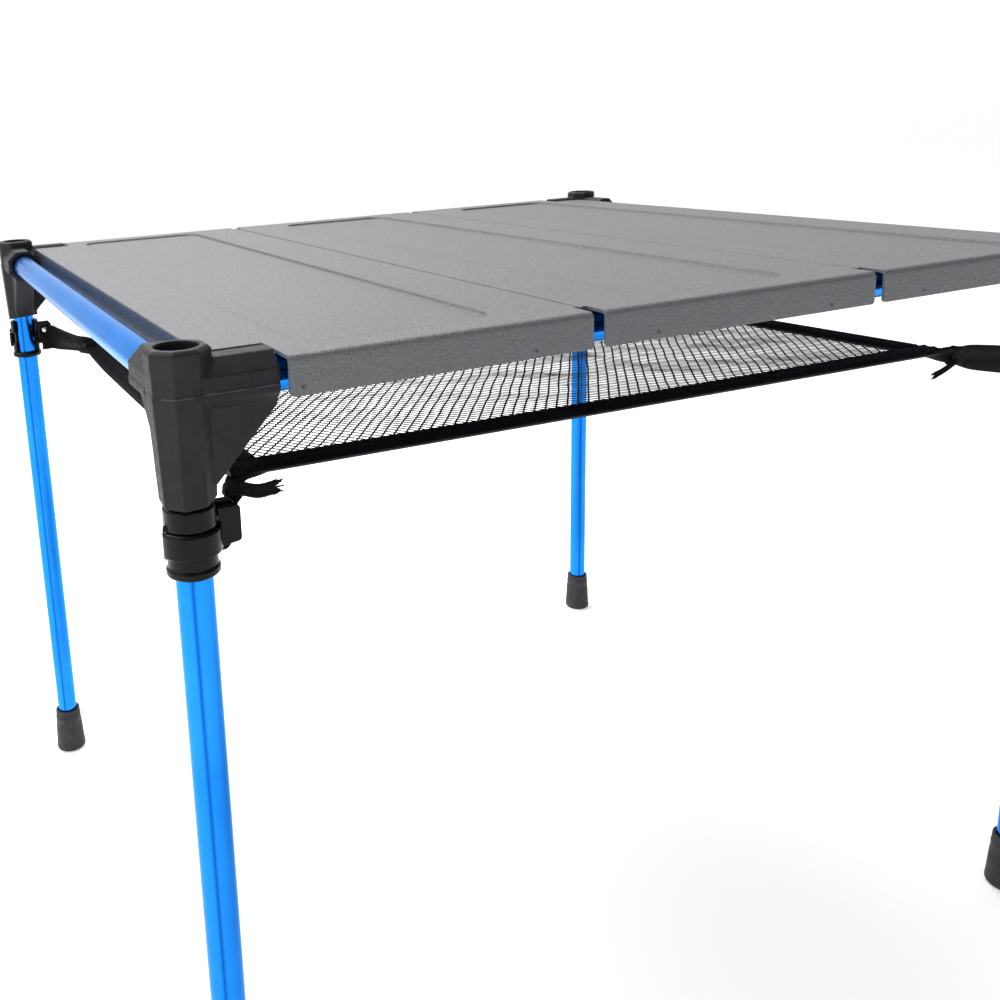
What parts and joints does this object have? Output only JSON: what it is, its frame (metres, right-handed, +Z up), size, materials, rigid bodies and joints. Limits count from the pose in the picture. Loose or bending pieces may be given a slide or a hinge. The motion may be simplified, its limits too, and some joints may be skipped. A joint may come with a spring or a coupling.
{
  "type": "camp kitchen table",
  "caption": "Low camp kitchen table: tray panels lie on a blue tube frame with black corner hubs, clamped legs, rubber feet and a net shelf under the top.",
  "frame": {"origin": "on the ground under the middle of the table, midway between the four feet", "axes": "+X along the table's long side to the right, +Y from front to back, +Z up"},
  "size_m": [0.5206, 0.4484, 0.407],
  "materials": {
    "powder_coat": "grey powder coat with a fine pebbled texture on pressed sheet",
    "anodised_blue": "glossy azure anodised tube",
    "hub_nylon": "matte charcoal glass-filled nylon",
    "clamp_plastic": "semi-gloss black moulded plastic",
    "rubber": "matte black rubber",
    "steel": "bright plain steel",
    "netting": "black knotless netting",
    "webbing": "black ribbed webbing"
  },
  "bodies": {
    "root": {"hub_front_left": "hub_nylon", "collar_front_left": "clamp_plastic", "lever_pin_front_left": "steel", "strap_rivet_front_left": "steel", "strap_front_left": "webbing", "hub_front_right": "hub_nylon", "collar_front_right": "clamp_plastic", "lever_pin_front_right": "steel", "strap_rivet_front_right": "steel", "strap_front_right": "webbing", "hub_back_left": "hub_nylon", "collar_back_left": "clamp_plastic", "lever_pin_back_left": "steel", "strap_rivet_back_left": "steel", "strap_back_left": "webbing", "hub_back_right": "hub_nylon", "collar_back_right": "clamp_plastic", "lever_pin_back_right": "steel", "strap_rivet_back_right": "steel", "strap_back_right": "webbing", "tube_front": "anodised_blue", "tube_back": "anodised_blue", "tube_left": "anodised_blue", "tube_right": "anodised_blue", "net": "netting", "hem_front": "webbing", "hem_back": "webbing", "hem_left": "webbing", "hem_right": "webbing"},
    "leg_front_left": {"leg_front_left": "anodised_blue", "leg_cap_front_left": "clamp_plastic", "foot_front_left": "rubber"},
    "leg_front_right": {"leg_front_right": "anodised_blue", "leg_cap_front_right": "clamp_plastic", "foot_front_right": "rubber"},
    "leg_back_left": {"leg_back_left": "anodised_blue", "leg_cap_back_left": "clamp_plastic", "foot_back_left": "rubber"},
    "leg_back_right": {"leg_back_right": "anodised_blue", "leg_cap_back_right": "clamp_plastic", "foot_back_right": "rubber"},
    "lever_front_left": {"lever_front_left": "clamp_plastic"},
    "lever_front_right": {"lever_front_right": "clamp_plastic"},
    "lever_back_left": {"lever_back_left": "clamp_plastic"},
    "lever_back_right": {"lever_back_right": "clamp_plastic"},
    "panel_left": {"panel_left": "powder_coat"},
    "panel_middle": {"panel_middle": "powder_coat"},
    "panel_right": {"panel_right": "powder_coat"}
  },
  "joints": [
    {"name": "leg_slide_front_left", "type": "slide", "parent": "root", "child": "leg_front_left", "axis": [0, 0, -1], "range_m": [0, 0.03]},
    {"name": "leg_slide_front_right", "type": "slide", "parent": "root", "child": "leg_front_right", "axis": [0, 0, -1], "range_m": [0, 0.03]},
    {"name": "leg_slide_back_left", "type": "slide", "parent": "root", "child": "leg_back_left", "axis": [0, 0, -1], "range_m": [0, 0.03]},
    {"name": "leg_slide_back_right", "type": "slide", "parent": "root", "child": "leg_back_right", "axis": [0, 0, -1], "range_m": [0, 0.03]},
    {"name": "lever_hinge_front_left", "type": "hinge", "parent": "root", "child": "lever_front_left", "pos_m": [-0.25875, -0.21172, 0.335], "axis": [0, 0, -1], "range_deg": [0, 100]},
    {"name": "lever_hinge_front_right", "type": "hinge", "parent": "root", "child": "lever_front_right", "pos_m": [0.25875, -0.21172, 0.335], "axis": [0, 0, 1], "range_deg": [0, 100]},
    {"name": "lever_hinge_back_left", "type": "hinge", "parent": "root", "child": "lever_back_left", "pos_m": [-0.25875, 0.21172, 0.335], "axis": [0, 0, 1], "range_deg": [0, 100]},
    {"name": "lever_hinge_back_right", "type": "hinge", "parent": "root", "child": "lever_back_right", "pos_m": [0.25875, 0.21172, 0.335], "axis": [0, 0, -1], "range_deg": [0, 100]},
    {"name": "panel_lift_left", "type": "slide", "parent": "root", "child": "panel_left", "axis": [0, 0, 1], "range_m": [0, 0.04]},
    {"name": "panel_lift_middle", "type": "slide", "parent": "root", "child": "panel_middle", "axis": [0, 0, 1], "range_m": [0, 0.04]},
    {"name": "panel_lift_right", "type": "slide", "parent": "root", "child": "panel_right", "axis": [0, 0, 1], "range_m": [0, 0.04]}
  ]
}
